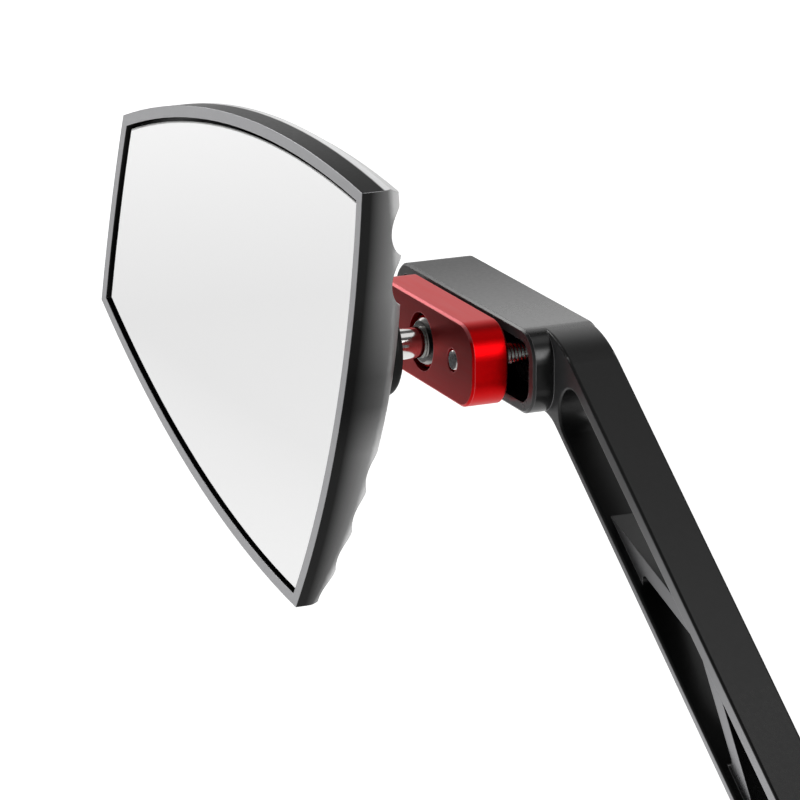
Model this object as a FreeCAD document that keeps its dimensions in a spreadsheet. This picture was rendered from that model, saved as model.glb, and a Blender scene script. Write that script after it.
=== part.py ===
import FreeCAD, Part
import Sketcher
import math
import os

# Billet motorcycle mirror: truss arm, ball clamp and fluted head.
# Drawn about the ball stud's axis: X runs along the clamp block, Y away from the glass, Z up.
# Every piece is then placed so that the mounting stud's seat is the origin.

Vector = FreeCAD.Vector
doc = FreeCAD.newDocument("motorcycle_mirror")

# Driving dimensions in millimetres and degrees
SIZES = {
    "block_height": 18.0,
    "plate_length": 52.0,
    "plate_thickness": 8.2,
    "plate_corner": 6.9,
    "edge_chamfer": 0.5,
    "plate_gap": 1.4,
    "ball_radius": 7.2,
    "ball_depth": 5.6,
    "ball_flat_radius": 4.4,
    "ball_hole_radius": 6.3,
    "ball_clearance": 0.2,
    "seat_wall": 1.3,
    "seat_depth": 5.9,
    "shaft_radius": 3.35,
    "stud_thread_radius": 3.0,
    "stud_thread_length": 14.0,
    "thread_clearance": 0.05,
    "screw_spacing": 31.5,
    "screw_radius": 2.5,
    "screw_tip_chamfer": 0.6,
    "screw_hole_clearance": 0.3,
    "screw_head_radius": 4.25,
    "screw_head_height": 5.0,
    "screw_key_width": 4.0,
    "screw_key_depth": 2.5,
    "counterbore_clearance": 0.5,
    "counterbore_depth": 5.2,
    "cup_length": 70.0,
    "cup_depth": 15.65,
    "cup_corner": 6.3,
    "cup_wall": 2.4,
    "cup_floor": 8.0,
    "cup_bridge": 20.0,
    "arm_depth": 11.0,
    "arm_width": 16.6,
    "arm_angle": 34.35,
    "arm_reach": 155.0,
    "bend_radius": 26.0,
    "bend_setback": 7.3,
    "bend_fillet": 11.0,
    "inner_rail": 2.1,
    "pocket_width": 11.2,
    "pocket_recess": 1.85,
    "pocket_start": 1.1,
    "truss_centre": 69.5,
    "strut_pitch": 35.5,
    "strut_width": 3.15,
    "node_web": 2.4,
    "window_corner": 1.2,
    "rail_edge": 0.6,
    "base_radius": 12.0,
    "base_height": 24.0,
    "base_edge": 1.0,
    "mount_radius": 5.0,
    "mount_length": 21.5,
    "mount_engagement": 16.0,
    "mount_relief": 0.7,
    "washer_radius": 10.0,
    "washer_thickness": 1.6,
    "nut_width": 17.0,
    "nut_height": 6.0,
    "nut_clearance": 0.1,
    "head_distance": 8.4,
    "head_boss_radius": 10.5,
    "head_boss_rise": 11.0,
    "head_boss_edge": 1.2,
    "head_flare_radius": 18.0,
    "head_flare_rise": 5.0,
    "head_depth": 12.5,
    "head_rounding": 5.5,
    "rim_width": 2.5,
    "top_band": 6.4,
    "top_slope": 32.0,
    "top_left_x": -90.2,
    "top_left_z": 32.7,
    "top_right_x": 42.2,
    "top_right_z": 44.9,
    "tip_x": 7.0,
    "tip_z": -52.4,
    "left_x": -106.0,
    "left_z": -13.5,
    "top_bulge": 8.0,
    "right_bulge": 6.4,
    "lower_bulge": 7.0,
    "left_bulge": 0.8,
    "glass_recess": 0.7,
    "glass_thickness": 2.0,
    "glass_clearance": 0.9,
    "pad_thickness": 1.0,
    "pad_inset": 6.0,
    "crown_z": 5.0,
    "crown_high_radius": 300.0,
    "crown_low_radius": 350.0,
    "flute_top_pitch": 11.1,
    "flute_low_pitch": 10.3,
    "flute_top_width": 11.6,
    "flute_low_width": 10.9,
    "flute_top_z": 35.6,
    "flute_low_z": -19.9,
    "flute_top_depth": 3.8,
    "flute_low_depth": 2.9,
}

# Places closer than this count as the same
TOUCH = 1e-4

# Counts of the flutes above and below the plain band
FLUTES = {"top": 2, "low": 4}

# Share of half a slot's width that rounds its end, a little under one to keep its edges apart
ROUND_SHARE = 0.999

sheet = doc.addObject("Spreadsheet::Sheet", "Sizes")
for row, (name, value) in enumerate(SIZES.items(), start=1):
    sheet.set(f"A{row}", name)
    sheet.set(f"B{row}", str(value))
    sheet.setAlias(f"B{row}", name)
doc.recompute()


def size(name):
    """A driving dimension read from the sheet."""
    return float(sheet.get(name))


# Places worked out from the driving dimensions
HALF_BLOCK = size("block_height") / 2
CUP_FRONT = size("plate_thickness") + size("plate_gap")
CUP_BACK = CUP_FRONT + size("cup_depth")
ARM_FRONT = CUP_BACK - size("arm_depth")
ARM_MIDDLE = CUP_BACK - size("arm_depth") / 2
SCREW_X = size("screw_spacing") / 2
SCREW_SEAT = CUP_BACK - size("counterbore_depth")
ANGLE = math.radians(size("arm_angle"))
ALONG = Vector(math.cos(ANGLE), 0, -math.sin(ANGLE))
ACROSS = Vector(math.sin(ANGLE), 0, math.cos(ANGLE))
BEND_START = size("cup_length") / 2 - size("bend_setback")
BEND_CENTRE = Vector(BEND_START, 0, HALF_BLOCK - size("bend_radius"))
BEND_END = BEND_CENTRE + ACROSS * (size("bend_radius") - HALF_BLOCK)
BASE_AXIS = BEND_END + ALONG * size("arm_reach")
BASE_BOTTOM = BASE_AXIS.z - size("base_height") / 2
SEAT_STACK = size("washer_thickness") + size("nut_height")
MOUNT_SEAT = Vector(BASE_AXIS.x, ARM_MIDDLE, BASE_BOTTOM - SEAT_STACK)
HEAD_BACK = -size("head_distance") - size("head_boss_rise")
RIM_FRONT = HEAD_BACK - size("head_depth")
GLASS_FRONT = RIM_FRONT + size("glass_recess")
GLASS_BACK = GLASS_FRONT + size("glass_thickness")

pieces = []


def new_body(label):
    """A body for one piece, placed from the mount seat."""
    body = doc.addObject("PartDesign::Body", label)
    body.Label = label
    body.Placement = FreeCAD.Placement(-MOUNT_SEAT, FreeCAD.Rotation())
    pieces.append(body)
    return body


def origin_plane(body, role):
    """One of the body's own planes."""
    return [feature for feature in body.Origin.OriginFeatures if feature.Role == role][0]


def new_sketch(body, name, role, base=Vector(), turn=0.0):
    """A sketch on one of the body's own planes, moved by base and turned within its plane."""
    sketch = body.newObject("Sketcher::SketchObject", name)
    sketch.AttachmentSupport = [(origin_plane(body, role), "")]
    sketch.MapMode = "FlatFace"
    turned = FreeCAD.Rotation(Vector(0, 0, 1), turn)
    sketch.AttachmentOffset = FreeCAD.Placement(base, turned)
    return sketch


def front_sketch(body, name, depth, centre=Vector(), turn=0.0):
    """A sketch seen from the glass side, in the plane Y = depth, with its own X and Z."""
    return new_sketch(body, name, "XZ_Plane", Vector(centre.x, centre.z, -depth), turn)


def draw_outline(sketch, corners):
    """A closed outline from (x, y, corner radius), with each corner rounded by its arc."""
    count = len(corners)
    starts, ends, arcs = [], [], []
    for index, (x, y, radius) in enumerate(corners):
        corner = Vector(x, y, 0)
        before = Vector(*corners[index - 1][:2], 0) - corner
        after = Vector(*corners[(index + 1) % count][:2], 0) - corner
        before.normalize()
        after.normalize()
        half = before.getAngle(after) / 2
        reach = radius / math.tan(half)
        starts.append(corner + before * reach)
        ends.append(corner + after * reach)
        middle = before + after
        middle.normalize()
        centre = corner + middle * (radius / math.sin(half))
        arcs.append((centre - middle * radius) if radius > 0 else None)
    for index in range(count):
        if arcs[index] is not None:
            sketch.addGeometry(Part.ArcOfCircle(starts[index], arcs[index], ends[index]))
        following = (index + 1) % count
        if ends[index].distanceToPoint(starts[following]) > TOUCH:
            sketch.addGeometry(Part.LineSegment(ends[index], starts[following]))


def draw_rectangle(sketch, low_x, low_y, high_x, high_y, radius):
    """A rectangle with rounded corners."""
    corners = [(low_x, low_y), (high_x, low_y), (high_x, high_y), (low_x, high_y)]
    draw_outline(sketch, [(x, y, radius) for x, y in corners])


def draw_circle(sketch, x, y, radius_cells):
    """A circle whose radius is bound to the sheet."""
    place = sketch.addGeometry(Part.Circle(Vector(x, y, 0), Vector(0, 0, 1), 1.0))
    number = sketch.addConstraint(Sketcher.Constraint("Radius", place, 1.0))
    sketch.setExpression(f"Constraints[{number}]", radius_cells)


def draw_path(sketch, points):
    """A closed outline of straight edges."""
    draw_outline(sketch, [(x, y, 0.0) for x, y in points])


def extrude(body, kind, sketch, length_cells, reverse=False, both=False):
    """A pad or a pocket whose length is bound to the sheet."""
    feature = body.newObject(f"PartDesign::{kind}", f"{kind}_{sketch.Name}")
    feature.Profile = sketch
    feature.Reversed = reverse
    if both:
        feature.SideType = "Symmetric"
    feature.setExpression("Length", length_cells)
    doc.recompute()
    return feature


def pad_back(body, sketch, length_cells):
    """Material from the sketch's plane towards +Y."""
    return extrude(body, "Pad", sketch, length_cells, reverse=True)


def cut_back(body, sketch, length_cells):
    """A cut from the sketch's plane towards +Y."""
    return extrude(body, "Pocket", sketch, length_cells, reverse=False)


def cut_forward(body, sketch, length_cells):
    """A cut from the sketch's plane towards -Y."""
    return extrude(body, "Pocket", sketch, length_cells, reverse=True)


def turn_about(body, kind, sketch, axis, angle=360, reverse=False):
    """A revolution or groove about one of the sketch's axes."""
    feature = body.newObject(f"PartDesign::{kind}", f"{kind}_{sketch.Name}")
    feature.Profile = sketch
    feature.ReferenceAxis = (sketch, [axis])
    feature.Angle = angle
    feature.Reversed = reverse
    doc.recompute()
    return feature


def dress_edges(body, kind, name, chosen, cell):
    """A fillet or chamfer on the tip's edges that the test picks, with its size from the sheet."""
    tip = body.Tip
    edges = [f"Edge{number}" for number, edge in enumerate(tip.Shape.Edges, start=1) if chosen(edge)]
    feature = body.newObject(f"PartDesign::{kind}", name)
    feature.Base = (tip, edges)
    feature.setExpression("Radius" if kind == "Fillet" else "Size", f"Sizes.{cell}")
    doc.recompute()
    return feature


def lies_at(edge, depth):
    """Whether an edge lies in the plane Y = depth."""
    box = edge.BoundBox
    return abs(box.YMin - depth) < TOUCH and abs(box.YMax - depth) < TOUCH


# Clamp plate: a rounded bar with a ball seat in its middle and two tapped holes
def make_clamp_plate():
    body = new_body("clamp_plate")
    outline = front_sketch(body, "plate_outline", 0)
    half = size("plate_length") / 2
    draw_rectangle(outline, -half, -HALF_BLOCK, half, HALF_BLOCK, size("plate_corner"))
    pad_back(body, outline, "Sizes.plate_thickness")
    dress_edges(body, "Chamfer", "plate_edges", lambda edge: True, "edge_chamfer")
    holes = front_sketch(body, "plate_holes", 0)
    for x in (-SCREW_X, SCREW_X):
        draw_circle(holes, x, 0, "Sizes.screw_radius + Sizes.thread_clearance")
    cut_back(body, holes, "Sizes.plate_thickness")
    make_ball_seat(body)


def make_ball_seat(body):
    """The plate's hole: a straight mouth, then a seat round the ball, open to the back."""
    seat = size("ball_radius") + size("ball_clearance")
    mouth = size("ball_hole_radius")
    centre = size("ball_depth")
    back = size("plate_thickness")
    lip = centre - math.sqrt(seat ** 2 - mouth ** 2)
    profile = new_sketch(body, "ball_hole", "XY_Plane")
    points = [(seat, centre), (seat, back), (0, back), (0, 0), (mouth, 0), (mouth, lip)]
    for start, end in zip(points, points[1:]):
        profile.addGeometry(Part.LineSegment(Vector(*start, 0), Vector(*end, 0)))
    lip_angle = math.atan2(lip - centre, mouth)
    circle = Part.Circle(Vector(0, centre, 0), Vector(0, 0, 1), seat)
    profile.addGeometry(Part.ArcOfCircle(circle, lip_angle, 0))
    turn_about(body, "Groove", profile, "V_Axis")


# Clamp screws: socket heads sunk in the arm's back, with their tips flush in the plate
def make_clamp_screws():
    body = new_body("clamp_screws")
    body.AllowCompound = True
    chamfer = size("screw_tip_chamfer")
    shank = size("screw_radius")
    head = size("screw_head_radius")
    end = SCREW_SEAT + size("screw_head_height")
    profile = new_sketch(body, "screw_profile", "XY_Plane", Vector(SCREW_X, 0, 0))
    draw_path(profile, [
        (0, 0), (shank - chamfer, 0), (shank, chamfer), (shank, SCREW_SEAT),
        (head, SCREW_SEAT), (head, end - chamfer), (head - chamfer, end), (0, end),
    ])
    screw = turn_about(body, "Revolution", profile, "V_Axis")
    key = front_sketch(body, "screw_key", end, Vector(SCREW_X, 0, 0))
    draw_path(key, hexagon(size("screw_key_width")))
    socket = cut_forward(body, key, "Sizes.screw_key_depth")
    pair = body.newObject("PartDesign::Mirrored", "screw_pair")
    pair.Originals = [screw, socket]
    pair.MirrorPlane = (origin_plane(body, "YZ_Plane"), [""])
    body.Tip = pair
    doc.recompute()


def hexagon(width):
    """Corners of a hexagon of the given width across its flats."""
    reach = width / 2 / math.cos(math.pi / 6)
    return [(reach * math.cos(k * math.pi / 3), reach * math.sin(k * math.pi / 3)) for k in range(6)]


# Ball stud: ball with a turned front flat, plain shaft and threaded end
def make_ball_stud():
    body = new_body("ball_stud")
    radius = size("ball_radius")
    centre = size("ball_depth")
    flat = size("ball_flat_radius")
    front = centre - math.sqrt(radius ** 2 - flat ** 2)
    shoulder = -size("head_distance")
    end = shoulder - size("stud_thread_length")
    shaft = size("shaft_radius")
    thread = size("stud_thread_radius")
    profile = new_sketch(body, "stud_profile", "XY_Plane")
    points = [
        (0, centre + radius), (0, end), (thread, end), (thread, shoulder),
        (shaft, shoulder), (shaft, front), (flat, front),
    ]
    for start, finish in zip(points, points[1:]):
        profile.addGeometry(Part.LineSegment(Vector(*start, 0), Vector(*finish, 0)))
    circle = Part.Circle(Vector(0, centre, 0), Vector(0, 0, 1), radius)
    profile.addGeometry(Part.ArcOfCircle(circle, math.atan2(front - centre, flat), math.pi / 2))
    turn_about(body, "Revolution", profile, "V_Axis")


# Ball seat: a thin cup that carries the back of the ball in the arm's socket
def make_ball_cup():
    body = new_body("ball_seat")
    inner = size("ball_radius") + size("ball_clearance")
    outer = inner + size("seat_wall")
    centre = size("ball_depth")
    edge = size("seat_depth")
    profile = new_sketch(body, "seat_profile", "XY_Plane", Vector(0, centre, 0))
    inner_angle = math.asin(edge / inner)
    outer_angle = math.asin(edge / outer)
    for radius, angle in ((inner, inner_angle), (outer, outer_angle)):
        circle = Part.Circle(Vector(), Vector(0, 0, 1), radius)
        profile.addGeometry(Part.ArcOfCircle(circle, angle, math.pi / 2))
    inner_edge = Vector(inner * math.cos(inner_angle), edge, 0)
    outer_edge = Vector(outer * math.cos(outer_angle), edge, 0)
    profile.addGeometry(Part.LineSegment(inner_edge, outer_edge))
    profile.addGeometry(Part.LineSegment(Vector(0, inner, 0), Vector(0, outer, 0)))
    turn_about(body, "Revolution", profile, "V_Axis")


# Arm: clamp cup, bend, truss and base in one billet
def make_arm():
    body = new_body("mirror_arm")
    beam = front_sketch(body, "beam_outline", ARM_FRONT)
    draw_beam(beam)
    pad_back(body, beam, "Sizes.arm_depth")
    cut_truss(body)
    dress_edges(body, "Fillet", "rail_edges", is_rail_edge, "rail_edge")
    half = size("cup_length") / 2
    cup = front_sketch(body, "cup_outline", CUP_FRONT)
    draw_rectangle(cup, -half, -HALF_BLOCK, half, HALF_BLOCK, size("cup_corner"))
    pad_back(body, cup, "Sizes.cup_depth")
    dress_edges(body, "Chamfer", "cup_edges", lambda edge: lies_at(edge, CUP_FRONT), "edge_chamfer")
    add_base(body)
    cut_cup(body)


def add_base(body):
    """The round base with bevelled edges and the mounting stud's hole."""
    radius = size("base_radius")
    edge = size("base_edge")
    high = size("base_height")
    base = new_sketch(body, "base_profile", "XZ_Plane", Vector(BASE_AXIS.x, BASE_BOTTOM, -ARM_MIDDLE))
    draw_path(base, [
        (0, 0), (radius - edge, 0), (radius, edge), (radius, high - edge), (radius - edge, high), (0, high),
    ])
    turn_about(body, "Revolution", base, "V_Axis")
    bore = new_sketch(body, "mount_hole", "XY_Plane", Vector(BASE_AXIS.x, ARM_MIDDLE, BASE_BOTTOM))
    draw_circle(bore, 0, 0, "Sizes.mount_radius + Sizes.thread_clearance")
    extrude(body, "Pocket", bore, "Sizes.mount_engagement", reverse=True)


def is_rail_edge(edge):
    """Whether an edge borders the beam's front or back face."""
    return lies_at(edge, ARM_FRONT) or lies_at(edge, CUP_BACK)


def draw_beam(sketch):
    """The beam seen from the front: level top, bend, straight arm and concave corner under the cup."""
    inner_offset = HALF_BLOCK - size("arm_width")
    outer_end = BASE_AXIS + ACROSS * HALF_BLOCK
    inner_end = BASE_AXIS + ACROSS * inner_offset
    inner_line = BEND_END + ACROSS * inner_offset
    level = -HALF_BLOCK
    steps = (inner_line.z - level) / math.sin(ANGLE)
    corner = inner_line + ALONG * steps
    fillet_reach = size("bend_fillet") * math.tan(ANGLE / 2)
    fillet_start = Vector(corner.x - fillet_reach, level, 0)
    fillet_end = corner + ALONG * fillet_reach
    top_start = Vector(0, HALF_BLOCK, 0)
    bend_start = Vector(BEND_START, HALF_BLOCK, 0)
    halfway = Vector(math.sin(ANGLE / 2), 0, math.cos(ANGLE / 2))
    bend_middle = BEND_CENTRE + halfway * size("bend_radius")
    bend_end = BEND_CENTRE + ACROSS * size("bend_radius")
    fillet_centre = Vector(fillet_start.x, 0, level - size("bend_fillet"))
    fillet_middle = fillet_centre + halfway * size("bend_fillet")

    def flat(point):
        return Vector(point.x, point.z, 0)

    sketch.addGeometry(Part.LineSegment(Vector(0, level, 0), top_start))
    sketch.addGeometry(Part.LineSegment(top_start, bend_start))
    sketch.addGeometry(Part.ArcOfCircle(bend_start, flat(bend_middle), flat(bend_end)))
    sketch.addGeometry(Part.LineSegment(flat(bend_end), flat(outer_end)))
    sketch.addGeometry(Part.LineSegment(flat(outer_end), flat(inner_end)))
    sketch.addGeometry(Part.LineSegment(flat(inner_end), flat(fillet_end)))
    sketch.addGeometry(Part.ArcOfCircle(flat(fillet_end), flat(fillet_middle), fillet_start))
    sketch.addGeometry(Part.LineSegment(fillet_start, Vector(0, level, 0)))


def cut_truss(body):
    """Shallow pockets in both faces, then three windows that leave two slanted struts."""
    low = HALF_BLOCK - size("arm_width") + size("inner_rail")
    high = low + size("pocket_width")
    start = size("pocket_start")
    middle = size("truss_centre")
    end = 2 * middle - start
    round_end = size("pocket_width") / 2 * ROUND_SHARE
    turn = -size("arm_angle")
    for name, depth, cut in (("front_pocket", ARM_FRONT, cut_back), ("back_pocket", CUP_BACK, cut_forward)):
        pocket = front_sketch(body, name, depth, BEND_END, turn)
        draw_rectangle(pocket, start, low, end, high, round_end)
        cut(body, pocket, "Sizes.pocket_recess")
    slant = math.atan2(size("pocket_width"), size("strut_pitch"))
    strut_half = size("strut_width") / 2 / math.sin(slant)
    small = size("window_corner")
    foot = middle - size("strut_pitch")
    top = high - size("node_web")
    rise = (top - low) / math.tan(slant)
    end_window = [
        (start, low, round_end), (start, high, round_end),
        (middle - strut_half, high, small), (foot - strut_half, low, small / 2),
    ]
    middle_window = [
        (foot + strut_half, low, small), (foot + strut_half + rise, top, small * 2),
        (2 * middle - foot - strut_half - rise, top, small * 2),
        (2 * middle - foot - strut_half, low, small),
    ]
    far_window = [(2 * middle - s, n, radius) for s, n, radius in end_window]
    windows = front_sketch(body, "windows", ARM_FRONT, BEND_END, turn)
    for outline in (end_window, middle_window, far_window):
        draw_outline(windows, outline)
    cut_back(body, windows, "Sizes.arm_depth")


def cut_cup(body):
    """Two hollows in the cup, the ball's socket between them and the screws' holes."""
    wall = size("cup_wall")
    far = size("cup_length") / 2 - wall
    near = size("cup_bridge") / 2
    radius = size("cup_corner") - wall
    hollows = front_sketch(body, "cup_hollows", CUP_FRONT)
    for low, high in ((-far, -near), (near, far)):
        draw_rectangle(hollows, low, -HALF_BLOCK + wall, high, HALF_BLOCK - wall, radius)
    cut_back(body, hollows, "Sizes.cup_depth - Sizes.cup_floor")
    holes = front_sketch(body, "screw_holes", CUP_FRONT)
    sinks = front_sketch(body, "screw_sinks", CUP_BACK)
    for x in (-SCREW_X, SCREW_X):
        draw_circle(holes, x, 0, "Sizes.screw_radius + Sizes.screw_hole_clearance")
        draw_circle(sinks, x, 0, "Sizes.screw_head_radius + Sizes.counterbore_clearance")
    cut_back(body, holes, "Sizes.cup_depth")
    cut_forward(body, sinks, "Sizes.counterbore_depth")
    socket = size("ball_radius") + 2 * size("ball_clearance") + size("seat_wall")
    profile = new_sketch(body, "ball_socket", "XY_Plane", Vector(0, size("ball_depth"), 0))
    circle = Part.Circle(Vector(), Vector(0, 0, 1), socket)
    profile.addGeometry(Part.ArcOfCircle(circle, -math.pi / 2, math.pi / 2))
    profile.addGeometry(Part.LineSegment(Vector(0, socket, 0), Vector(0, -socket, 0)))
    turn_about(body, "Groove", profile, "V_Axis")


# Head: a blade-shaped housing with a fluted back, its boss, the glass and the pad behind it
def head_outline(inset):
    """The head's outline, moved in by inset: four shallow arcs between four corners."""
    names = ("top_left", "top_right", "tip", "left")
    corners = [Vector(size(f"{name}_x"), size(f"{name}_z"), 0) for name in names]
    bulges = [size(name) for name in ("top_bulge", "right_bulge", "lower_bulge", "left_bulge")]
    edges = []
    for index, start in enumerate(corners):
        end = corners[(index + 1) % len(corners)]
        run = end - start
        out = Vector(-run.y, run.x, 0)
        out.normalize()
        crown = start + run * 0.5 + out * bulges[index]
        edges.append(Part.Arc(start, crown, end).toShape())
    wire = Part.Wire(edges)
    if inset == 0:
        return wire
    return wire.makeOffset2D(-inset, 2)


def draw_wire(sketch, wire):
    """The wire's arcs as sketch geometry."""
    for edge in wire.Edges:
        first = edge.valueAt(edge.FirstParameter)
        last = edge.valueAt(edge.LastParameter)
        middle = edge.valueAt((edge.FirstParameter + edge.LastParameter) / 2)
        sketch.addGeometry(Part.ArcOfCircle(first, middle, last))


def make_housing():
    body = new_body("mirror_housing")
    outline = front_sketch(body, "rim_outline", RIM_FRONT)
    draw_wire(outline, head_outline(0))
    pad_back(body, outline, "Sizes.head_depth")
    bow_back(body)
    shoulder = size("top_left_z")

    def is_rounded(edge):
        box = edge.BoundBox
        upright = max(box.XLength, box.ZLength) < TOUCH
        behind = box.YMin > GLASS_FRONT and not lies_at(edge, HEAD_BACK)
        return behind and not upright and box.Center.z < shoulder

    dress_edges(body, "Fillet", "back_rounding", is_rounded, "head_rounding")
    slope_top(body)
    cut_flutes(body)
    add_boss(body)
    opening = front_sketch(body, "glass_opening", RIM_FRONT)
    draw_wire(opening, head_outline(size("rim_width")))
    cut_back(body, opening, "Sizes.glass_recess + Sizes.glass_thickness + Sizes.pad_thickness")
    hole = front_sketch(body, "stud_hole", -size("head_distance"))
    draw_circle(hole, 0, 0, "Sizes.stud_thread_radius + Sizes.thread_clearance")
    cut_forward(body, hole, "Sizes.stud_thread_length + Sizes.thread_clearance")


def slope_top(body):
    """A sloping facet behind the top band, turned about the top edge's own centre."""
    arc = head_outline(0).Edges[0].Curve
    centre = arc.Center
    radius = arc.Radius
    band = RIM_FRONT + size("top_band")
    run = size("head_depth") - size("top_band")
    drop = run * math.tan(math.radians(size("top_slope")))
    margin = size("head_depth")
    profile = new_sketch(body, "top_facet", "YZ_Plane", Vector(0, centre.y, centre.x))
    draw_path(profile, [
        (band, radius), (band + run * 2, radius - drop * 2),
        (band + run * 2, radius + margin), (band, radius + margin),
    ])
    turn_about(body, "Groove", profile, "H_Axis")


def bow_drop(level):
    """How far the bowed back lies in front of its crown at one height."""
    beyond = level - size("crown_z")
    radius = size("crown_high_radius") if beyond > 0 else size("crown_low_radius")
    return radius - math.sqrt(radius ** 2 - beyond ** 2)


def bow_back(body):
    """Bow the back down from its crown, gently towards the top and more towards the tip."""
    crown = size("crown_z")
    top = size("top_right_z") + size("top_bulge")
    bottom = size("tip_z") - size("lower_bulge")
    for name, far in (("bow_high", top), ("bow_low", bottom)):
        sketch = new_sketch(body, name, "YZ_Plane")
        half = (crown + far) / 2
        start = Vector(HEAD_BACK, crown, 0)
        middle = Vector(HEAD_BACK - bow_drop(half), half, 0)
        end = Vector(HEAD_BACK - bow_drop(far), far, 0)
        corner = Vector(HEAD_BACK, far, 0)
        sketch.addGeometry(Part.ArcOfCircle(start, middle, end))
        sketch.addGeometry(Part.LineSegment(end, corner))
        sketch.addGeometry(Part.LineSegment(corner, start))
        extrude(body, "Pocket", sketch, "4 * Sizes.top_right_x - 4 * Sizes.left_x", both=True)


def cut_flutes(body):
    """Level grooves milled across the back, above and below a plain band that carries the boss."""
    for name, count in FLUTES.items():
        pitch = size(f"flute_{name}_pitch")
        width = size(f"flute_{name}_width")
        depth = size(f"flute_{name}_depth")
        wide = f"Sizes.flute_{name}_width"
        deep = f"Sizes.flute_{name}_depth"
        cutter = f"({wide} ^ 2 / 4 + {deep} ^ 2) / (2 * {deep})"
        radius = (width ** 2 / 4 + depth ** 2) / (2 * depth)
        profile = new_sketch(body, f"{name}_flutes", "YZ_Plane")
        for index in range(int(count)):
            level = size(f"flute_{name}_z") - index * pitch
            draw_circle(profile, HEAD_BACK - bow_drop(level) - depth + radius, level, cutter)
        extrude(body, "Pocket", profile, "4 * Sizes.top_right_x - 4 * Sizes.left_x", both=True)


def add_boss(body):
    """The stud's round boss, flared out into the fluted back."""
    radius = size("head_boss_radius")
    edge = size("head_boss_edge")
    rear = -size("head_distance")
    foot = HEAD_BACK - size("flute_top_depth")
    neck = HEAD_BACK + size("head_flare_rise")
    spread = size("head_flare_radius") - radius
    fall = neck - foot
    sweep = (spread ** 2 + fall ** 2) / (2 * spread)
    flare = Part.Circle(Vector(radius + sweep, neck, 0), Vector(0, 0, 1), sweep)
    rounding = Part.Circle(Vector(radius - edge, rear - edge, 0), Vector(0, 0, 1), edge)
    points = [(radius - edge, rear), (0, rear), (0, foot), (radius + spread, foot)]
    profile = new_sketch(body, "boss_profile", "XY_Plane")
    for start, end in zip(points, points[1:]):
        profile.addGeometry(Part.LineSegment(Vector(*start, 0), Vector(*end, 0)))
    turn = math.atan2(fall, sweep - spread)
    profile.addGeometry(Part.ArcOfCircle(flare, math.pi, math.pi + turn))
    profile.addGeometry(Part.LineSegment(Vector(radius, neck, 0), Vector(radius, rear - edge, 0)))
    profile.addGeometry(Part.ArcOfCircle(rounding, 0, math.pi / 2))
    turn_about(body, "Revolution", profile, "V_Axis")


def make_glass():
    body = new_body("mirror_glass")
    outline = front_sketch(body, "glass_outline", GLASS_FRONT)
    draw_wire(outline, head_outline(size("rim_width") + size("glass_clearance")))
    pad_back(body, outline, "Sizes.glass_thickness")


def make_pad():
    body = new_body("glass_pad")
    outline = front_sketch(body, "pad_outline", GLASS_BACK)
    draw_wire(outline, head_outline(size("rim_width") + size("pad_inset")))
    pad_back(body, outline, "Sizes.pad_thickness")


# Mount: stud screwed into the base, with its lock nut and washer
def make_mount():
    seat = Vector(BASE_AXIS.x, ARM_MIDDLE, MOUNT_SEAT.z)
    stud = new_body("mounting_stud")
    radius = size("mount_radius")
    bevel = size("screw_tip_chamfer")
    top = SEAT_STACK + size("mount_engagement")
    relief = size("mount_relief")
    low = -size("mount_length")
    profile = new_sketch(stud, "mount_profile", "XZ_Plane", Vector(seat.x, seat.z, -seat.y))
    draw_path(profile, [
        (0, low - bevel), (radius - bevel, low - bevel), (radius, low), (radius, 0),
        (radius - relief, 0), (radius - relief, relief), (radius, relief * 2),
        (radius, top - bevel), (radius - bevel, top), (0, top),
    ])
    turn_about(stud, "Revolution", profile, "V_Axis")
    rings = (("mount_washer", 0, "Sizes.washer_thickness"),
             ("mount_lock_nut", size("washer_thickness"), "Sizes.nut_height"))
    for label, height, thickness in rings:
        ring = new_body(label)
        outline = new_sketch(ring, "ring_outline", "XY_Plane", seat + Vector(0, 0, height))
        if label == "mount_washer":
            draw_circle(outline, 0, 0, "Sizes.washer_radius")
        else:
            draw_path(outline, hexagon(size("nut_width")))
        draw_circle(outline, 0, 0, "Sizes.mount_radius + Sizes.nut_clearance")
        extrude(ring, "Pad", outline, thickness)


make_arm()
make_clamp_plate()
make_clamp_screws()
make_ball_stud()
make_ball_cup()
make_housing()
make_glass()
make_pad()
make_mount()
doc.recompute()

# Every object has to be sound before anything is written
for item in doc.Objects:
    if "Invalid" in item.State or "Error" in item.State:
        raise RuntimeError(f"{item.Label} failed: {item.State}")
for piece in pieces:
    if piece.Shape.isNull() or not piece.Shape.isValid():
        raise RuntimeError(f"{piece.Label} has no valid shape")
    if len(piece.Shape.Solids) != (2 if piece.Label == "clamp_screws" else 1):
        raise RuntimeError(f"{piece.Label} has {len(piece.Shape.Solids)} solids")

os.makedirs("parts", exist_ok=True)
for piece in pieces:
    piece.Shape.exportStep(f"parts/{piece.Label}.step")
    box = piece.Shape.BoundBox
    print(f"{piece.Label}: volume {piece.Shape.Volume:.0f}, z {box.ZMin:.1f} to {box.ZMax:.1f}")
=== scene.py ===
import math

import bmesh
import bpy
from mathutils import Matrix, Vector


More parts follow.
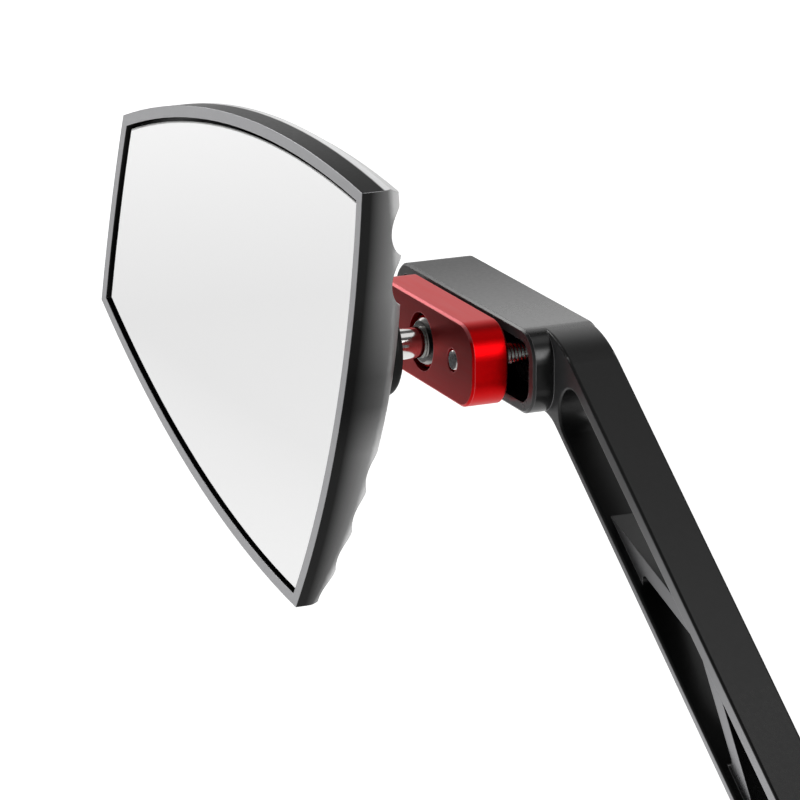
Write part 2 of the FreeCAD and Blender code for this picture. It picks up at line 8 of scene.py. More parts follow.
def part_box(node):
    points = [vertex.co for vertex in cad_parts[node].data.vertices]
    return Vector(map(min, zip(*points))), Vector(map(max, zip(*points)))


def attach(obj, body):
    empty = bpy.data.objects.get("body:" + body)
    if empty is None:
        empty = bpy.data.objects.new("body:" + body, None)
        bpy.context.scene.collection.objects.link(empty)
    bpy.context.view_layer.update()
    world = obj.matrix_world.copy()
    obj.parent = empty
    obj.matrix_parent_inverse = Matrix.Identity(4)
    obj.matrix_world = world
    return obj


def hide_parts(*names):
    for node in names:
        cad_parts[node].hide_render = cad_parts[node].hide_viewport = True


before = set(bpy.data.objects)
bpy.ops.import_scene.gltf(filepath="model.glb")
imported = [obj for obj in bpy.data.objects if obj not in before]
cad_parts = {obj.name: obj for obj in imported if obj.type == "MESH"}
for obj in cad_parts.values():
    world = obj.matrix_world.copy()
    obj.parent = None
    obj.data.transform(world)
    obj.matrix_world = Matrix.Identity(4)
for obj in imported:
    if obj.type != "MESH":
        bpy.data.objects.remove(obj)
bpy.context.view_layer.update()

MM = 0.001

# Where the ball stud's axis meets the clamp plate's front: the photo's matched view turns about it
plate_low, plate_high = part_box("clamp_plate")
ANCHOR = Vector(((plate_low.x + plate_high.x) / 2, plate_low.y, (plate_low.z + plate_high.z) / 2))
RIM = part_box("mirror_housing")[0].y
ARM_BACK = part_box("mirror_arm")[1].y
FLOOR_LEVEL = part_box("mounting_stud")[0].z

# The photo's view: angles in degrees, the camera's place from the anchor, lens and sensor in millimetres
AZIMUTH = 66.0
ELEVATION = 16.3
DISTANCE = 1051.5 * MM
SIDEWAYS = -4.44 * MM
UPWARDS = -12.28 * MM
LENS = 225.0
SENSOR = 36.0

# Threads: pitch, depth and the plain radius that they are cut into
SCREW_RADIUS = 2.5 * MM
SCREW_HEAD_RADIUS = 4.25 * MM
SCREW_TIP = 0.6 * MM
SCREW_SEAT = 20.05 * MM
SCREW_PITCH = 0.8 * MM
SCREW_DEPTH = 0.42 * MM
STUD_RADIUS = 5.0 * MM
STUD_LENGTH = 21.5 * MM
STUD_PITCH = 1.25 * MM
STUD_DEPTH = 0.7 * MM
THREAD_SIDES = 48
ROWS_A_TURN = 10
HALF_TURN = 0.5
WELD = 0.001 * MM
TOUCH = 0.01 * MM

# Node kinds used most
MAP = "ShaderNodeMapRange"
MATH = "ShaderNodeMath"
MIX = "ShaderNodeMix"
SHADER = "ShaderNodeBsdfPrincipled"

# Marks to the millimetre
# Those of oxide, milling, turning and plating are drawn coarser than they are, so that they show
OXIDE_GRAINS = 1.1
MILLING_LINES = 1.2
TURNING_RINGS = 1.5
PLATING_GRAINS = 2.0
HAZE_PATCHES = 0.02
MOULDING_GRAINS = 1.0
FOAM_PORES = 1.2
PAPER_MOTTLES = 0.004
ALONG_X = (0.05, 1.0, 1.0)
ROUND_Y = (0.1, 4.0, 0.1)
GRAIN_DETAIL = 3.0
GRAIN_SPAN = {"From_Min": 0.3, "From_Max": 0.7}

# Heights of marks and radii of edges
FINE_RELIEF = 0.0005 * MM
PLATING_RELIEF = 0.001 * MM
MOULDING_RELIEF = 0.01 * MM
PORE_RELIEF = 0.1 * MM
MILLED_EDGE = 0.25 * MM
TURNED_EDGE = 0.3 * MM
PLAIN_EDGE = 0.1 * MM
SCREW_EDGE = 0.08 * MM
GLASS_EDGE = 0.7 * MM
EDGE_SAMPLES = 6

# Roughness over the grain
OXIDE_ROUGHNESS = {"To_Min": 0.28, "To_Max": 0.32}
ARM_UNEVENNESS = {"To_Min": -0.02, "To_Max": 0.02}
RED_ROUGHNESS = {"To_Min": 0.4, "To_Max": 0.44}
SHAFT_ROUGHNESS = {"To_Min": 0.07, "To_Max": 0.14}
BALL_ROUGHNESS = 0.2
PLATING_ROUGHNESS = {"To_Min": 0.25, "To_Max": 0.36}
SCREW_ROUGHNESS = {"To_Min": 0.18, "To_Max": 0.26}
GLASS_ROUGHNESS = {"To_Min": 0.01, "To_Max": 0.03}
PLASTIC_ROUGHNESS = {"To_Min": 0.45, "To_Max": 0.6}
FOAM_ROUGHNESS = {"To_Min": 0.85, "To_Max": 0.95}
PAPER_ROUGHNESS = {"To_Min": 0.85, "To_Max": 0.95}

# The arm's roughness along its length: place from the cup's far end to the base, and the roughness there
ARM_LENGTH = {"From_Min": ANCHOR.x - 25 * MM, "From_Max": 0.0}
ARM_ROUGHNESS = ((0.0, 0.44), (0.27, 0.22), (0.36, 0.42), (0.75, 0.28))

# Painted edge highlights, by the cosine between rounded and flat, and how strong they are
NEAR_EDGE = {"From_Min": 0.995, "From_Max": 0.9}
OXIDE_EDGE_HIGHLIGHT = 0.5
RED_EDGE_HIGHLIGHT = 0.8

# Front flats carry a painted highlight, set by their normal, their depth and the heights between which it
# fades to its upper strength
FRONT_FACING = {"From_Min": -0.9, "From_Max": -0.99}
FLAT_MARGIN = 0.1 * MM
FLAT_HEIGHT = {"From_Min": 55 * MM, "From_Max": 95 * MM, "To_Min": 1.0}
ARM_UPPER = 0.25
HEAD_UPPER = 1.0
HEAD_FLAT_DEPTH = 0.5 * MM

# The head's painted sheen, a painted reflection, by depth behind the rim, by normal and by height about the
# stud
HEAD_SPECULAR = 0.028
SIDE_DEPTH = {"From_Min": RIM + 2 * MM, "From_Max": RIM + 10 * MM, "To_Min": 0.02, "To_Max": 0.42}
SIDE_RISE = {"From_Min": 0.6, "From_Max": 0.3}
FACET_DEPTH = {"From_Min": RIM + 4.8 * MM, "From_Max": RIM + 5.2 * MM, "To_Max": 0.8}
FACET_RISE = {"From_Min": 0.5, "From_Max": 0.7}
BACK_ROUNDED = {"From_Min": 0.1, "From_Max": 0.5, "To_Max": 0.58}
BACK_FLAT = {"From_Min": 0.92, "From_Max": 0.99, "To_Min": 1.0, "To_Max": 0.3}
BOSS_DEPTH = {"From_Min": RIM + 12.6 * MM, "From_Max": RIM + 14 * MM, "To_Min": 1.0, "To_Max": 0.12}
ABOVE_STUD = {"From_Min": ANCHOR.z + 4 * MM, "From_Max": ANCHOR.z + 22 * MM, "To_Min": 0.35}
BELOW_STUD = {"From_Min": ANCHOR.z - 14 * MM, "From_Max": ANCHOR.z - 3 * MM, "To_Min": 1.0, "To_Max": 0.35}

# Where painted marks fall: the plate's upper front chamfer and the screws' flanks (painted highlights), the
# ball's start, and the glass's upper edge (painted shade)
CHAMFER_FACING = {"From_Min": -0.4, "From_Max": -0.5}
CHAMFER_RISE = {"From_Min": 0.4, "From_Max": 0.5}
BALL_START = {"From_Min": ANCHOR.y - 0.3 * MM, "From_Max": ANCHOR.y - 0.2 * MM}
HIGHLIGHT_FACING = {"From_Min": -0.97, "From_Max": -0.85}
UPPER_EDGE = {"From_Min": 0.05, "From_Max": 0.12}

# The table in metres: where its painted glow dims, how strong that glow is, and half its width
GLASS_SIDE = {"From_Min": -0.08, "From_Max": -0.2}
FAR_SIDE = {"From_Min": -0.42, "From_Max": -0.66, "To_Min": 0.55}
RIGHT_SIDE = {"From_Min": -0.1, "From_Max": 0.12}
GLOW = 0.62
TABLE_HALF = 6.0

# The studio's light from the horizon up
# Its soft boxes: place from the anchor, width and height in metres, power in watts
SKY = {"From_Min": 0.0, "From_Max": 0.6, "To_Min": 0.6, "To_Max": 0.12}
SOFT_BOXES = {
    "key_box": ((-1.15, -0.5, 0.62), 0.8, 0.8, 7.0),
    "back_box": ((-1.24, 0.66, 0.8), 0.9, 1.3, 3.3),
    "top_box": ((0.2, 0.42, 0.95), 0.5, 0.5, 0.7),
    "side_strip": ((1.3, 0.45, 0.5), 0.35, 0.8, 9.0),
}

# Colours seen in the photo
BLACK = "#070707"
FRONT_HIGHLIGHT_GREY = "#929294"
EDGE_HIGHLIGHT_GREY = "#B4B4B6"
EDGE_HIGHLIGHT_PINK = "#DC7C80"
PAINTED_SHEEN = "#F0F0F0"
RED = "#B80408"
RED_LIGHT = "#C8070C"
STEEL = "#D4D3D1"
BALL_GREY = "#92908E"
DARK_STEEL = "#9A9A9D"
SCREW_END = "#B2B2B4"
SILVER = "#EDEDED"

# Colours of the hidden seat and pad, and of the table's paper and painted glow
PLASTIC = "#161616"
FOAM = "#1D1D1E"
PAPER = "#F2F2F2"
WHITE = "#FFFFFF"
FRONT_GREY = "#B6B6B6"
RIGHT_GREY = "#6A6A6A"


def colour(text):
    """A hex colour as linear light."""
    parts = [int(text[i:i + 2], 16) / 255 for i in (1, 3, 5)]
    return tuple(p / 12.92 if p <= 0.04045 else ((p + 0.055) / 1.055) ** 2.4 for p in parts) + (1.0,)


def add(tree, kind, **settings):
    """A node with its options, in lower case, and its sockets, capitalised, each set to a value or linked."""
    node = tree.nodes.new(kind)
    for name, value in settings.items():
        if name[0].islower():
            setattr(node, name, value)
            continue
        socket = next(entry for entry in node.inputs if entry.identifier.replace(" ", "_") == name)
        if isinstance(value, bpy.types.Node):
            value = next(output for output in value.outputs if output.enabled)
        if isinstance(value, bpy.types.NodeSocket):
            tree.links.new(value, socket)
        else:
            socket.default_value = value
    return node


def new_material(name):
    """An empty material and its nodes."""
    material = bpy.data.materials.new(name)
    material.use_nodes = True
    material.node_tree.nodes.clear()
    return material, material.node_tree


def own_axes(tree, source):
    """The axes of one of the texture coordinates, such as the part's own place or normal."""
    place = add(tree, "ShaderNodeTexCoord")
    return add(tree, "ShaderNodeSeparateXYZ", Vector=place.outputs[source]).outputs


def grain(tree, per_mm, stretch=(1.0, 1.0, 1.0)):
    """Fine noise in the part's own millimetres, stretched along one way where it is brushed."""
    place = add(tree, "ShaderNodeTexCoord").outputs["Object"]
    stretched = add(tree, "ShaderNodeMapping", Vector=place, Scale=stretch)
    return add(tree, "ShaderNodeTexNoise", Vector=stretched, Scale=per_mm / MM, Detail=GRAIN_DETAIL)


def relief(tree, marks, height, rounding):
    """Marks of the given height on edges rounded by the given radius, and those edges alone."""
    edges = add(tree, "ShaderNodeBevel", samples=EDGE_SAMPLES, Radius=rounding)
    return add(tree, "ShaderNodeBump", Distance=height, Height=marks, Normal=edges), edges


def near_edge(tree, edges):
    """How near an edge is, from 0 to 1, by how far its rounding turns from the flat."""
    flat = add(tree, "ShaderNodeNewGeometry").outputs["Normal"]
    turn = add(tree, "ShaderNodeVectorMath", operation="DOT_PRODUCT", Vector=edges, Vector_001=flat)
    return add(tree, MAP, Value=turn, **NEAR_EDGE)


def black_oxide(tree, marks, upper, deepest):
    """Satin black oxide: nearly black, with painted highlights on front flats and edges. Gives colour, metal
    and relief.
    """
    place = own_axes(tree, "Object")
    # Painted highlight: front flats turn lighter grey and metal, on the arm weaker higher up
    front = add(tree, MAP, Value=own_axes(tree, "Normal")["Y"], **FRONT_FACING)
    outer = add(tree, MAP, Value=place["Y"], From_Min=deepest + FLAT_MARGIN, From_Max=deepest)
    fade = add(tree, MAP, Value=place["Z"], **FLAT_HEIGHT, To_Max=upper)
    flat = add(tree, MATH, operation="MULTIPLY", Value=front, Value_001=outer)
    face = add(tree, MATH, operation="MULTIPLY", Value=flat, Value_001=fade)
    bump, edges = relief(tree, marks, FINE_RELIEF, MILLED_EDGE)
    # Painted highlight: edges turn lighter grey and metal
    edge_highlight = add(tree, MATH, operation="MULTIPLY", Value=near_edge(tree, edges), Value_001=OXIDE_EDGE_HIGHLIGHT)
    shade = add(
        tree, MIX, data_type="RGBA", Factor_Float=face, A_Color=colour(BLACK), B_Color=colour(FRONT_HIGHLIGHT_GREY),
    )
    shade = add(tree, MIX, data_type="RGBA", Factor_Float=edge_highlight, A_Color=shade, B_Color=colour(EDGE_HIGHLIGHT_GREY))
    metal = add(tree, MATH, operation="MAXIMUM", Value=face, Value_001=edge_highlight)
    return shade, metal, bump


def arm_black():
    """The arm's black oxide: handled smooth at the bend, duller at the cup's far end and down the arm."""
    material, tree = new_material("black_anodised_arm")
    marks = grain(tree, OXIDE_GRAINS)
    shade, metal, bump = black_oxide(tree, marks, ARM_UPPER, ARM_BACK)
    along = add(tree, MAP, Value=own_axes(tree, "Object")["X"], **ARM_LENGTH)
    ramp = add(tree, "ShaderNodeValToRGB", Fac=along)
    stops = ramp.color_ramp.elements
    for place, _ in ARM_ROUGHNESS[1:-1]:
        stops.new(place)
    for stop, (place, rough) in zip(stops, ARM_ROUGHNESS):
        stop.position = place
        stop.color = (rough, rough, rough, 1.0)
    uneven = add(tree, MAP, Value=marks, **GRAIN_SPAN, **ARM_UNEVENNESS)
    rough = add(tree, MATH, operation="ADD", Value=ramp, Value_001=uneven)
    shader = add(tree, SHADER, Base_Color=shade, Metallic=metal, Roughness=rough, Normal=bump)
    add(tree, "ShaderNodeOutputMaterial", Surface=shader)
    return material


def head_black():
    """The head's black oxide: dark beside the rim, with a painted sheen that grows towards its back, dimmed
    about the stud's height as painted shade.
    """
    material, tree = new_material("black_anodised_head")
    marks = grain(tree, OXIDE_GRAINS)
    shade, metal, bump = black_oxide(tree, marks, HEAD_UPPER, RIM + HEAD_FLAT_DEPTH)
    place = own_axes(tree, "Object")
    normal = own_axes(tree, "Normal")
    # Painted sheen: lighter colour and more metal on the sides, the rounded back and a band behind the top,
    # as painted reflection
    deep = add(tree, MAP, Value=place["Y"], **SIDE_DEPTH)
    upright = add(tree, MAP, Value=normal["Z"], **SIDE_RISE)
    side = add(tree, MATH, operation="MULTIPLY", Value=deep, Value_001=upright)
    behind = add(tree, MAP, Value=place["Y"], **FACET_DEPTH)
    sloped = add(tree, MAP, Value=normal["Z"], **FACET_RISE)
    facet = add(tree, MATH, operation="MULTIPLY", Value=behind, Value_001=sloped)
    rounded = add(tree, MAP, Value=normal["Y"], **BACK_ROUNDED)
    slant = add(tree, MATH, operation="MAXIMUM", Value=side, Value_001=rounded)
    bright = add(tree, MATH, operation="MAXIMUM", Value=slant, Value_001=facet)
    flat = add(tree, MAP, Value=normal["Y"], **BACK_FLAT)
    bright = add(tree, MATH, operation="MULTIPLY", Value=bright, Value_001=flat)
    # Painted shade: the sheen dims on the boss and about the stud's height
    boss = add(tree, MAP, Value=place["Y"], **BOSS_DEPTH)
    above = add(tree, MAP, Value=place["Z"], **ABOVE_STUD)
    below = add(tree, MAP, Value=place["Z"], **BELOW_STUD)
    away = add(tree, MATH, operation="MAXIMUM", Value=above, Value_001=below)
    shaded = add(tree, MATH, operation="MULTIPLY", Value=boss, Value_001=away)
    painted_sheen = add(tree, MATH, operation="MULTIPLY", Value=bright, Value_001=shaded)
    shade = add(tree, MIX, data_type="RGBA", Factor_Float=painted_sheen, A_Color=shade, B_Color=colour(PAINTED_SHEEN))
    metal = add(tree, MATH, operation="MAXIMUM", Value=metal, Value_001=painted_sheen)
    rough = add(tree, MAP, Value=marks, **GRAIN_SPAN, **OXIDE_ROUGHNESS)
    shader = add(
        tree, SHADER, Base_Color=shade, Metallic=metal, Roughness=rough, Normal=bump,
        Specular_IOR_Level=HEAD_SPECULAR,
    )
    add(tree, "ShaderNodeOutputMaterial", Surface=shader)
    return material


def red_anodised():
    """Dyed red oxide over metal: deep red with faint milling lines, and a painted pale pink highlight on its
    edges and upper front chamfer.
    """
    material, tree = new_material("red_anodised_aluminium")
    lines = grain(tree, MILLING_LINES, ALONG_X)
    bump, edges = relief(tree, lines, FINE_RELIEF, MILLED_EDGE)
    normal = own_axes(tree, "Normal")
    # Painted highlight: the upper front chamfer and the edges turn pale pink
    front = add(tree, MAP, Value=normal["Y"], **CHAMFER_FACING)
    rising = add(tree, MAP, Value=normal["Z"], **CHAMFER_RISE)
    chamfer = add(tree, MATH, operation="MULTIPLY", Value=front, Value_001=rising)
    highlighted_edges = add(tree, MATH, operation="MAXIMUM", Value=near_edge(tree, edges), Value_001=chamfer)
    edge_highlight = add(tree, MATH, operation="MULTIPLY", Value=highlighted_edges, Value_001=RED_EDGE_HIGHLIGHT)
    shade = add(
        tree, MIX, data_type="RGBA", Factor_Float=lines, A_Color=colour(RED), B_Color=colour(RED_LIGHT),
    )
    shade = add(tree, MIX, data_type="RGBA", Factor_Float=edge_highlight, A_Color=shade, B_Color=colour(EDGE_HIGHLIGHT_PINK))
    rough = add(tree, MAP, Value=lines, **GRAIN_SPAN, **RED_ROUGHNESS)
    shader = add(tree, SHADER, Base_Color=shade, Metallic=1.0, Roughness=rough, Normal=bump)
    add(tree, "ShaderNodeOutputMaterial", Surface=shader)
    return material


def polished_steel():
    """Turned steel: a bright polished shaft with faint rings, and a darker, rougher grey ball."""
    material, tree = new_material("polished_steel")
    rings = grain(tree, TURNING_RINGS, ROUND_Y)
    ball = add(tree, MAP, Value=own_axes(tree, "Object")["Y"], **BALL_START)
    shade = add(
        tree, MIX, data_type="RGBA", Factor_Float=ball, A_Color=colour(STEEL), B_Color=colour(BALL_GREY),
    )
    shaft = add(tree, MAP, Value=rings, **GRAIN_SPAN, **SHAFT_ROUGHNESS)
    ball_rough = add(tree, MATH, operation="MULTIPLY", Value=ball, Value_001=BALL_ROUGHNESS)
    rough = add(tree, MATH, operation="MAXIMUM", Value=shaft, Value_001=ball_rough)
    bump, _ = relief(tree, rings, FINE_RELIEF, TURNED_EDGE)
    shader = add(tree, SHADER, Base_Color=shade, Metallic=1.0, Roughness=rough, Normal=bump)
    add(tree, "ShaderNodeOutputMaterial", Surface=shader)
    return material


def dark_steel():
    """Dark zinc plating: duller grey metal with a fine grain."""
    material, tree = new_material("dark_zinc_steel")
    marks = grain(tree, PLATING_GRAINS)
    rough = add(tree, MAP, Value=marks, **GRAIN_SPAN, **PLATING_ROUGHNESS)
    bump, _ = relief(tree, marks, PLATING_RELIEF, PLAIN_EDGE)
    shader = add(
        tree, SHADER, Base_Color=colour(DARK_STEEL), Metallic=1.0, Roughness=rough, Normal=bump,
    )
    add(tree, "ShaderNodeOutputMaterial", Surface=shader)
    return material


def screw_steel():
    """Plated screws: dull grey on the flat ends, with a painted highlight that makes the thread's flanks and
    the tip's chamfer bright.
    """
    material, tree = new_material("plated_screw_steel")
    marks = grain(tree, PLATING_GRAINS)
    # Painted highlight: every face but the flat front-facing ends is lighter
    flank_highlight = add(tree, MAP, Value=own_axes(tree, "Normal")["Y"], **HIGHLIGHT_FACING)
    shade = add(
        tree, MIX, data_type="RGBA", Factor_Float=flank_highlight, A_Color=colour(SCREW_END), B_Color=colour(STEEL),
    )
    rough = add(tree, MAP, Value=marks, **GRAIN_SPAN, **SCREW_ROUGHNESS)
    bump, _ = relief(tree, marks, FINE_RELIEF, SCREW_EDGE)
    shader = add(tree, SHADER, Base_Color=shade, Metallic=1.0, Roughness=rough, Normal=bump)
    add(tree, "ShaderNodeOutputMaterial", Surface=shader)
    return material


def mirror_silver():
    """Silvered glass: a clean mirror with the slightest haze, and painted shade as a dark line along its
    upper edge.
    """
    material, tree = new_material("silvered_glass")
    # Painted shade: the glass darkens along its upper edge, found by how its rounded edge turns upward
    border = add(tree, "ShaderNodeBevel", samples=EDGE_SAMPLES, Radius=GLASS_EDGE)
    own = add(
        tree, "ShaderNodeVectorTransform", vector_type="NORMAL", convert_from="WORLD", convert_to="OBJECT",
        Vector=border,
    )
    rising = add(tree, "ShaderNodeSeparateXYZ", Vector=own).outputs["Z"]
    upper = add(tree, MAP, Value=rising, **UPPER_EDGE)
    shade = add(
        tree, MIX, data_type="RGBA", Factor_Float=upper, A_Color=colour(SILVER), B_Color=colour(BLACK),
    )
    rough = add(tree, MAP, Value=grain(tree, HAZE_PATCHES), **GRAIN_SPAN, **GLASS_ROUGHNESS)
    shader = add(tree, SHADER, Base_Color=shade, Metallic=1.0, Roughness=rough)
    add(tree, "ShaderNodeOutputMaterial", Surface=shader)
    return material


def dull(name, shade, roughness, per_mm, height):
    """A matt moulded or foamed surface."""
    material, tree = new_material(name)
    pores = grain(tree, per_mm)
    rough = add(tree, MAP, Value=pores, **GRAIN_SPAN, **roughness)
    bump, _ = relief(tree, pores, height, PLAIN_EDGE)
    shader = add(tree, SHADER, Base_Color=colour(shade), Roughness=rough, Normal=bump)
    add(tree, "ShaderNodeOutputMaterial", Surface=shader)
    return material


def seat_plastic():
    """Moulded bearing plastic: matt and dark."""
    return dull("seat_plastic", PLASTIC, PLASTIC_ROUGHNESS, MOULDING_GRAINS, MOULDING_RELIEF)


def pad_foam():
    """Adhesive foam: dark, open and without shine."""
    return dull("pad_foam", FOAM, FOAM_ROUGHNESS, FOAM_PORES, PORE_RELIEF)


def white_sweep():
    """A white table with a painted glow: reads as white paper, keeps the part's shadow, and its painted glow
    dims to the front and right.
    """
    material, tree = new_material("white_sweep")
    # Painted glow: the table's emission dims to the front, the far side and the right
    place = own_axes(tree, "Object")
    front = add(tree, MAP, Value=place["Y"], **GLASS_SIDE)
    far = add(tree, MAP, Value=place["X"], **FAR_SIDE)
    right = add(tree, MAP, Value=place["X"], **RIGHT_SIDE)
    dim = add(tree, MATH, operation="MULTIPLY", Value=front, Value_001=far)
    glow = add(
        tree, MIX, data_type="RGBA", Factor_Float=dim, A_Color=colour(WHITE), B_Color=colour(FRONT_GREY),
    )
    glow = add(tree, MIX, data_type="RGBA", Factor_Float=right, A_Color=glow, B_Color=colour(RIGHT_GREY))
    # The glow is seen straight, mirrored and through, and lights nothing
    material.cycles.emission_sampling = "NONE"
    rays = add(tree, "ShaderNodeLightPath").outputs
    seen = add(tree, MATH, operation="MAXIMUM", Value=rays["Is Camera Ray"], Value_001=rays["Is Glossy Ray"])
    seen = add(tree, MATH, operation="MAXIMUM", Value=seen, Value_001=rays["Is Transmission Ray"])
    strength = add(tree, MATH, operation="MULTIPLY", Value=seen, Value_001=GLOW)
    rough = add(tree, MAP, Value=grain(tree, PAPER_MOTTLES), **GRAIN_SPAN, **PAPER_ROUGHNESS)
    shader = add(
        tree, SHADER, Base_Color=colour(PAPER), Roughness=rough, Specular_IOR_Level=0.0,
        Emission_Color=glow, Emission_Strength=strength,
    )
    add(tree, "ShaderNodeOutputMaterial", Surface=shader)
    return material


def thread_group():
    """Threaded rods in a row: the count, spacing and sizes are inputs, and each rod runs along its own Z."""
    group = bpy.data.node_groups.new("thread_row", "GeometryNodeTree")
    sockets = {}
    for name, kind in (("Length", "Float"), ("Radius", "Float"), ("Depth", "Float"), ("Pitch", "Float"),
                       ("Count", "Int"), ("Spacing", "Vector"), ("Turn", "Vector"), ("Start", "Vector"),
                       ("Material", "Material")):
        made = group.interface.new_socket(name, in_out="INPUT", socket_type=f"NodeSocket{kind}")
        sockets[name] = made.identifier
    group.interface.new_socket("Mesh", in_out="OUTPUT", socket_type="NodeSocketGeometry")
    given = add(group, "NodeGroupInput").outputs
    result = add(group, "NodeGroupOutput").inputs

    # A flat sheet, one step to a side and ten rows to a turn, is wound into a rod
    turns = add(group, MATH, operation="DIVIDE", Value=given["Length"], Value_001=given["Pitch"])
    steps = add(group, MATH, operation="MULTIPLY", Value=turns, Value_001=ROWS_A_TURN)
    rows = add(group, MATH, operation="ADD", Value=steps, Value_001=1)
    sheet = add(group, "GeometryNodeMeshGrid", Vertices_X=THREAD_SIDES + 1, Vertices_Y=rows)
    place = add(group, "ShaderNodeSeparateXYZ", Vector=add(group, "GeometryNodeInputPosition")).outputs
    around = add(group, MATH, operation="ADD", Value=place["X"], Value_001=HALF_TURN)
    share = add(group, MATH, operation="ADD", Value=place["Y"], Value_001=HALF_TURN)
    height = add(group, MATH, operation="MULTIPLY", Value=share, Value_001=given["Length"])

    # The cut rises and falls once a turn, and runs out over half a turn at both ends
    up = add(group, MATH, operation="MULTIPLY", Value=share, Value_001=turns)
    wound = add(group, MATH, operation="SUBTRACT", Value=up, Value_001=around)
    wave = add(group, MATH, operation="PINGPONG", Value=wound, Value_001=HALF_TURN)
    rest = add(group, MATH, operation="SUBTRACT", Value=1, Value_001=share)
    down = add(group, MATH, operation="MULTIPLY", Value=rest, Value_001=turns)
    nearer = add(group, MATH, operation="MINIMUM", Value=up, Value_001=down)
    ends = add(group, MATH, operation="MINIMUM", Value=nearer, Value_001=HALF_TURN)
    deep = add(group, MATH, operation="DIVIDE", Value=wave, Value_001=HALF_TURN)
    whole = add(group, MATH, operation="DIVIDE", Value=ends, Value_001=HALF_TURN)
    cut = add(group, MATH, operation="MULTIPLY", Value=deep, Value_001=whole)
    cut = add(group, MATH, operation="MULTIPLY", Value=cut, Value_001=given["Depth"])
    radius = add(group, MATH, operation="SUBTRACT", Value=given["Radius"], Value_001=cut)

    angle = add(group, MATH, operation="MULTIPLY", Value=around, Value_001=2 * math.pi)
    across = add(group, MATH, operation="COSINE", Value=angle)
    along = add(group, MATH, operation="SINE", Value=angle)
    x = add(group, MATH, operation="MULTIPLY", Value=radius, Value_001=across)
    y = add(group, MATH, operation="MULTIPLY", Value=radius, Value_001=along)
    spot = add(group, "ShaderNodeCombineXYZ", X=x, Y=y, Z=height)
    rod = add(group, "GeometryNodeSetPosition", Geometry=sheet, Position=spot)
    rod = add(group, "GeometryNodeMergeByDistance", Geometry=rod, Distance=WELD)

    row = add(
        group, "GeometryNodeMeshLine",
        Count=given["Count"], Start_Location=given["Start"], Offset=given["Spacing"],
    )
    turned = add(group, "FunctionNodeEulerToRotation", Euler=given["Turn"])
    copies = add(group, "GeometryNodeInstanceOnPoints", Points=row, Instance=rod, Rotation=turned)
    real = add(group, "GeometryNodeRealizeInstances", Geometry=copies)
    painted = add(group, "GeometryNodeSetMaterial", Geometry=real, Material=given["Material"])
    group.links.new(painted.outputs["Geometry"], result["Mesh"])
    return group, sockets


def thread_mesh(rods, **sizes):
    """The node group's rods as a plain mesh."""
    group, sockets = rods
    carrier = bpy.data.objects.new("thread_carrier", bpy.data.meshes.new("thread_carrier"))
    bpy.context.scene.collection.objects.link(carrier)
    modifier = carrier.modifiers.new("threads", "NODES")
    modifier.node_group = group
    for name, value in sizes.items():
        modifier[sockets[name]] = value
    carrier.update_tag()
    bpy.context.view_layer.update()
    ready = carrier.evaluated_get(bpy.context.evaluated_depsgraph_get())
    mesh = bpy.data.meshes.new_from_object(ready)
    bpy.data.objects.remove(carrier)
    return mesh


def thread_node(node, name, is_plain, threads, material):
    """A CAD node's twin whose plain shank is swapped for threads."""
    mesh = bmesh.new()
    mesh.from_mesh(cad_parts[node].data)
    plain = [face for face in mesh.faces if all(is_plain(vertex.co) for vertex in face.verts)]
    bmesh.ops.delete(mesh, geom=plain, context="FACES")
    mesh.from_mesh(threads)
    data = bpy.data.meshes.new(name)
    mesh.to_mesh(data)
    mesh.free()
    data.materials.clear()
    data.materials.append(material)
    for polygon in data.polygons:
        polygon.material_index = 0
    piece = bpy.data.objects.new(name, data)
    bpy.context.scene.collection.objects.link(piece)
    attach(piece, "arm")
    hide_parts(node)


def make_threads(screw, stud_steel):
    """Threads on the clamp screws and on the mounting stud."""
    rods = thread_group()
    low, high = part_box("clamp_screws")
    left = low.x + SCREW_HEAD_RADIUS
    right = high.x - SCREW_HEAD_RADIUS
    level = (low.z + high.z) / 2
    row = thread_mesh(
        rods, Length=SCREW_SEAT - SCREW_TIP, Radius=SCREW_RADIUS, Depth=SCREW_DEPTH, Pitch=SCREW_PITCH,
        Count=2, Spacing=(right - left, 0.0, 0.0), Turn=(-math.pi / 2, 0.0, 0.0),
        Start=(left, low.y + SCREW_TIP, level), Material=screw,
    )

    def on_shank(spot):
        away = min(math.hypot(spot.x - x, spot.z - level) for x in (left, right))
        return abs(away - SCREW_RADIUS) < TOUCH

    thread_node("clamp_screws", "threaded_clamp_screws", on_shank, row, screw)
    stud = thread_mesh(
        rods, Length=STUD_LENGTH, Radius=STUD_RADIUS, Depth=STUD_DEPTH, Pitch=STUD_PITCH,
        Count=1, Spacing=(0.0, 0.0, 0.0), Turn=(0.0, 0.0, 0.0),
        Start=(0.0, 0.0, -STUD_LENGTH), Material=stud_steel,
    )

    def on_stud(spot):
        return spot.z < TOUCH and abs(math.hypot(spot.x, spot.y) - STUD_RADIUS) < TOUCH

    thread_node("mounting_stud", "threaded_mounting_stud", on_stud, stud, stud_steel)


def dress_nodes():
    """Give every CAD node its material, and the threaded ones their threads."""
    dark = dark_steel()
    plated = screw_steel()
    materials = {
        "mirror_arm": arm_black(),
        "mirror_housing": head_black(),
        "clamp_plate": red_anodised(),
        "clamp_screws": plated,
        "ball_stud": polished_steel(),
        "ball_seat": seat_plastic(),
        "mirror_glass": mirror_silver(),
        "glass_pad": pad_foam(),
        "mounting_stud": dark,
        "mount_washer": dark,
        "mount_lock_nut": dark,
    }
    for name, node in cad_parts.items():
        node.data.materials.clear()
        node.data.materials.append(materials[name])
    make_threads(plated, dark)


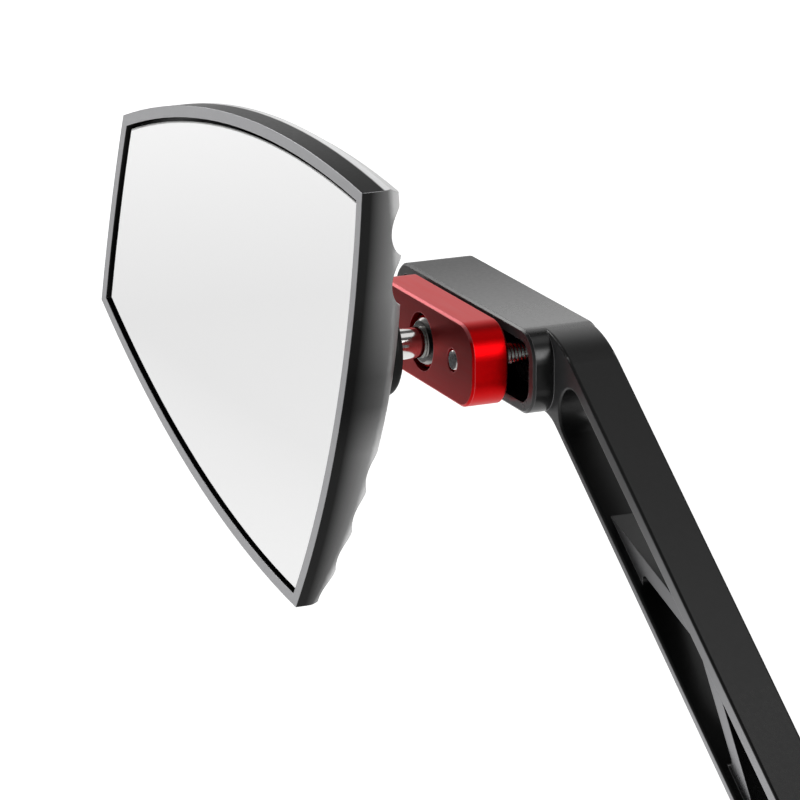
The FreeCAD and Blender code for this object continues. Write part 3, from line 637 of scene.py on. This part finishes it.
def make_floor():
    """A wide white table under the stud's end."""
    low, high = -TABLE_HALF, TABLE_HALF
    corners = [(low, low), (high, low), (high, high), (low, high)]
    mesh = bpy.data.meshes.new("white_table")
    mesh.from_pydata([(x, y, FLOOR_LEVEL) for x, y in corners], [], [(0, 1, 2, 3)])
    table = bpy.data.objects.new("white_table", mesh)
    table.data.materials.append(white_sweep())
    bpy.context.scene.collection.objects.link(table)


def soft_light(name, place, target, width, height, power):
    """A soft box that looks at a point."""
    light = bpy.data.lights.new(name, "AREA")
    light.shape = "RECTANGLE"
    light.size = width
    light.size_y = height
    light.energy = power
    lamp = bpy.data.objects.new(name, light)
    lamp.location = place
    lamp.rotation_euler = (target - place).to_track_quat("-Z", "Y").to_euler()
    bpy.context.scene.collection.objects.link(lamp)


def make_lights():
    """Soft studio light: a key and a tall box past the head, a small box overhead, a strip at the right."""
    for name, (away, width, height, power) in SOFT_BOXES.items():
        soft_light(name, ANCHOR + Vector(away), ANCHOR, width, height, power)


def make_world():
    """A studio that is light near the horizon and dim overhead."""
    world = bpy.data.worlds.new("studio")
    bpy.context.scene.world = world
    world.use_nodes = True
    tree = world.node_tree
    tree.nodes.clear()
    sky = add(tree, MAP, Value=own_axes(tree, "Generated")["Z"], **SKY)
    add(tree, "ShaderNodeOutputWorld", Surface=add(tree, "ShaderNodeBackground", Color=sky))


def make_camera():
    """The photo's matched view."""
    turn = math.radians(AZIMUTH)
    rise = math.radians(ELEVATION)
    right = Vector((math.cos(turn), math.sin(turn), 0))
    back = Vector((math.sin(turn) * math.cos(rise), -math.cos(turn) * math.cos(rise), math.sin(rise)))
    up = back.cross(right)
    data = bpy.data.cameras.new("photo_view")
    data.lens = LENS
    data.sensor_width = SENSOR
    camera = bpy.data.objects.new("photo_view", data)
    turned = Matrix((right, up, back)).transposed().to_4x4()
    place = ANCHOR + right * SIDEWAYS + up * UPWARDS + back * DISTANCE
    camera.matrix_world = Matrix.Translation(place) @ turned
    bpy.context.scene.collection.objects.link(camera)
    bpy.context.scene.camera = camera


dress_nodes()
make_floor()
make_lights()
make_world()
make_camera()
bpy.context.scene.view_settings.view_transform = "Standard"
